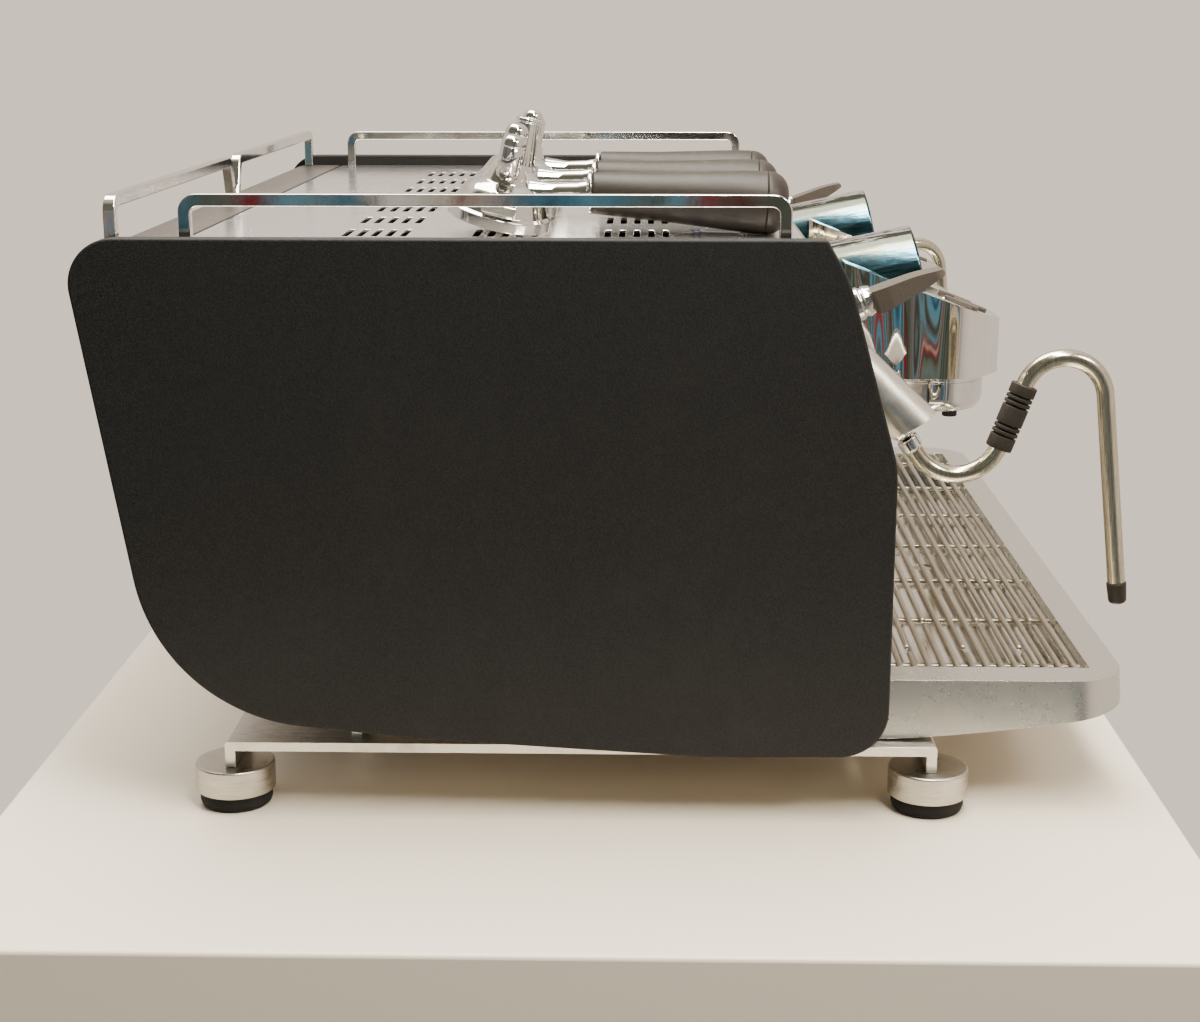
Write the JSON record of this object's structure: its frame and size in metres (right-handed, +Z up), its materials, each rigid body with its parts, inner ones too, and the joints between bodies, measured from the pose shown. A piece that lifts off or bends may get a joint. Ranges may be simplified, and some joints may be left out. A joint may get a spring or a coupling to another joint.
{
  "type": "espresso machine",
  "caption": "Low commercial espresso machine with matte side panels, display drums over lever-free groups, bent steam wands, a wire drip grille and portafilters stored on its railed cup tray.",
  "frame": {"origin": "on the floor, under the middle of the machine's box", "axes": "+Z up; the barista's side faces -Y; +X is the barista's right"},
  "size_m": [0.81, 0.6968, 0.4543],
  "materials": {
    "panel_black": "matte, fine textured powder coat",
    "cover_black": "satin, finely brushed dark",
    "mirror_steel": "mirror polished stainless sheet under a wrinkled film",
    "polished_steel": "polished stainless",
    "brushed_steel": "turned or brushed stainless",
    "chrome": "bright chrome",
    "rubber": "matte black rubber",
    "black_plastic": "satin black",
    "display_glass": "black gloss",
    "boiler_jacket": "black foam jacket",
    "cast_aluminium": "cast"
  },
  "bodies": {
    "machine": {"side_panel_left": "panel_black", "base_skid_left": "polished_steel", "side_panel_right": "panel_black", "base_skid_right": "polished_steel", "chassis_pan": "brushed_steel", "front_panel": "brushed_steel", "rear_cover": "cover_black", "cup_tray": "mirror_steel", "side_rail_left": "chrome", "rear_rail_left": "chrome", "side_rail_right": "chrome", "rear_rail_right": "chrome", "drip_rim": "chrome", "drip_pan": "polished_steel", "group_drum_left": "chrome", "display_lens_left": "display_glass", "group_cover_left": "chrome", "group_head_left": "chrome", "steam_valve_left": "chrome", "brew_boiler_left": "brushed_steel", "group_drum_right": "chrome", "display_lens_right": "display_glass", "group_cover_right": "chrome", "group_head_right": "chrome", "steam_valve_right": "chrome", "brew_boiler_right": "brushed_steel", "hot_water_spout": "polished_steel", "steam_boiler": "boiler_jacket", "pump_motor": "cast_aluminium"},
    "foot_front_left": {"foot_cup_front_left": "brushed_steel", "foot_pad_front_left": "rubber"},
    "foot_front_right": {"foot_cup_front_right": "brushed_steel", "foot_pad_front_right": "rubber"},
    "foot_rear_left": {"foot_cup_rear_left": "brushed_steel", "foot_pad_rear_left": "rubber"},
    "foot_rear_right": {"foot_cup_rear_right": "brushed_steel", "foot_pad_rear_right": "rubber"},
    "grille": {"drip_grille": "polished_steel"},
    "ball_left": {"wand_ball_left": "polished_steel"},
    "wand_left": {"steam_wand_left": "polished_steel", "wand_grip_left": "rubber", "wand_tip_left": "rubber"},
    "lever_left": {"steam_lever_left": "black_plastic"},
    "button_left_1": {"brew_button_left_1": "black_plastic"},
    "button_left_2": {"brew_button_left_2": "black_plastic"},
    "button_left_3": {"brew_button_left_3": "black_plastic"},
    "ball_right": {"wand_ball_right": "polished_steel"},
    "wand_right": {"steam_wand_right": "polished_steel", "wand_grip_right": "rubber", "wand_tip_right": "rubber"},
    "lever_right": {"steam_lever_right": "black_plastic"},
    "button_right_1": {"brew_button_right_1": "black_plastic"},
    "button_right_2": {"brew_button_right_2": "black_plastic"},
    "button_right_3": {"brew_button_right_3": "black_plastic"},
    "portafilter_1": {"portafilter_basket_1": "chrome", "portafilter_handle_1": "black_plastic"},
    "portafilter_2": {"portafilter_basket_2": "chrome", "portafilter_handle_2": "black_plastic"},
    "portafilter_3": {"portafilter_basket_3": "chrome", "portafilter_handle_3": "black_plastic"}
  },
  "joints": [
    {"name": "foot_front_left_turn", "type": "hinge", "parent": "machine", "child": "foot_front_left", "pos_m": [-0.375, -0.21, 0.03], "axis": [0, 0, 1], "continuous": true},
    {"name": "foot_front_right_turn", "type": "hinge", "parent": "machine", "child": "foot_front_right", "pos_m": [0.375, -0.21, 0.03], "axis": [0, 0, 1], "continuous": true},
    {"name": "foot_rear_left_turn", "type": "hinge", "parent": "machine", "child": "foot_rear_left", "pos_m": [-0.375, 0.263, 0.03], "axis": [0, 0, 1], "continuous": true},
    {"name": "foot_rear_right_turn", "type": "hinge", "parent": "machine", "child": "foot_rear_right", "pos_m": [0.375, 0.263, 0.03], "axis": [0, 0, 1], "continuous": true},
    {"name": "grille_lift", "type": "slide", "parent": "machine", "child": "grille", "axis": [0, 0, 1], "range_m": [0, 0.014]},
    {"name": "wand_swing_left", "type": "hinge", "parent": "machine", "child": "ball_left", "pos_m": [-0.33, -0.1885, 0.254], "axis": [0, 0, 1], "range_deg": [-60, 40]},
    {"name": "wand_tilt_left", "type": "hinge", "parent": "ball_left", "child": "wand_left", "pos_m": [-0.33, -0.1885, 0.254], "axis": [1, 0, 0], "range_deg": [-12, 10]},
    {"name": "lever_tilt_left", "type": "hinge", "parent": "machine", "child": "lever_left", "pos_m": [-0.35, -0.1515, 0.3395], "axis": [1, 0, 0], "range_deg": [-20, 25]},
    {"name": "button_press_left_1", "type": "slide", "parent": "machine", "child": "button_left_1", "axis": [0, 0.3502, -0.9367], "range_m": [0, 0.0012], "stiffness_N_per_m": 500},
    {"name": "button_press_left_2", "type": "slide", "parent": "machine", "child": "button_left_2", "axis": [0, 0.3502, -0.9367], "range_m": [0, 0.0012], "stiffness_N_per_m": 500},
    {"name": "button_press_left_3", "type": "slide", "parent": "machine", "child": "button_left_3", "axis": [0, 0.3502, -0.9367], "range_m": [0, 0.0012], "stiffness_N_per_m": 500},
    {"name": "wand_swing_right", "type": "hinge", "parent": "machine", "child": "ball_right", "pos_m": [0.33, -0.1885, 0.254], "axis": [0, 0, 1], "range_deg": [-60, 40]},
    {"name": "wand_tilt_right", "type": "hinge", "parent": "ball_right", "child": "wand_right", "pos_m": [0.33, -0.1885, 0.254], "axis": [0.9397, 0.342, 0], "range_deg": [-12, 10]},
    {"name": "lever_tilt_right", "type": "hinge", "parent": "machine", "child": "lever_right", "pos_m": [0.35, -0.1515, 0.3395], "axis": [1, 0, 0], "range_deg": [-20, 25]},
    {"name": "button_press_right_1", "type": "slide", "parent": "machine", "child": "button_right_1", "axis": [0, 0.3502, -0.9367], "range_m": [0, 0.0012], "stiffness_N_per_m": 500},
    {"name": "button_press_right_2", "type": "slide", "parent": "machine", "child": "button_right_2", "axis": [0, 0.3502, -0.9367], "range_m": [0, 0.0012], "stiffness_N_per_m": 500},
    {"name": "button_press_right_3", "type": "slide", "parent": "machine", "child": "button_right_3", "axis": [0, 0.3502, -0.9367], "range_m": [0, 0.0012], "stiffness_N_per_m": 500},
    {"name": "portafilter_lift_1", "type": "slide", "parent": "machine", "child": "portafilter_1", "axis": [0, 0, 1], "range_m": [0, 0.08]},
    {"name": "portafilter_lift_2", "type": "slide", "parent": "machine", "child": "portafilter_2", "axis": [0, 0, 1], "range_m": [0, 0.08]},
    {"name": "portafilter_lift_3", "type": "slide", "parent": "machine", "child": "portafilter_3", "axis": [0, 0, 1], "range_m": [0, 0.08]}
  ]
}
